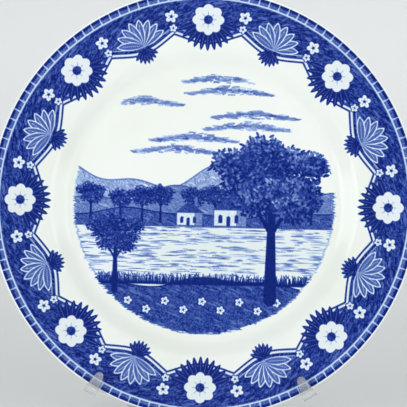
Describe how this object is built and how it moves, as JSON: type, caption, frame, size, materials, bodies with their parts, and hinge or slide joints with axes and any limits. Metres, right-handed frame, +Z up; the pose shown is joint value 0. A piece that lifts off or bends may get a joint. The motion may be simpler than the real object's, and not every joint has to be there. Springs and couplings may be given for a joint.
{
  "type": "souvenir plate",
  "caption": "Round glazed plate printed in blue with a landscape and a flower border, leaning on a clear folding easel with branched, hooked front legs and a hinged rear leg.",
  "frame": {"origin": "on the surface that the three foot tips stand on, under the middle of the whole display's box", "axes": "+Z up, -Y towards the viewer that the plate's face looks to, +X to that viewer's right; the plate leans back by 15 degrees"},
  "size_m": [0.254, 0.1568, 0.2554],
  "materials": {
    "printed_glaze": "gloss",
    "clear_acrylic": "gloss",
    "clear_vinyl": "satin",
    "steel": "satin"
  },
  "bodies": {
    "crown": {"crown": "clear_acrylic", "pivot_screw": "steel", "pivot_washer": "steel", "pivot_nut": "steel", "hinge_pin": "steel", "hinge_pin_cap": "steel"},
    "left_leg": {"left_leg": "clear_acrylic", "left_foot_tip": "clear_vinyl"},
    "right_leg": {"right_leg": "clear_acrylic", "right_foot_tip": "clear_vinyl"},
    "rear_leg": {"rear_leg": "clear_acrylic", "rear_foot_tip": "clear_vinyl"},
    "plate": {"plate": "printed_glaze"}
  },
  "joints": [
    {"name": "left_leg_swing", "type": "hinge", "parent": "crown", "child": "left_leg", "pos_m": [0, -0.02225, 0.127], "axis": [0, -0.9659, 0.2588], "range_deg": [0, 14]},
    {"name": "right_leg_swing", "type": "hinge", "parent": "crown", "child": "right_leg", "pos_m": [0, -0.02225, 0.127], "axis": [0, -0.9659, 0.2588], "range_deg": [-14, 0]},
    {"name": "rear_leg_fold", "type": "hinge", "parent": "crown", "child": "rear_leg", "pos_m": [0, 0.00649, 0.13379], "axis": [1, 0, 0], "range_deg": [-42, 0]},
    {"name": "plate_lift", "type": "slide", "parent": "crown", "child": "plate", "axis": [0, 0.2588, 0.9659], "range_m": [0, 0.12]}
  ]
}
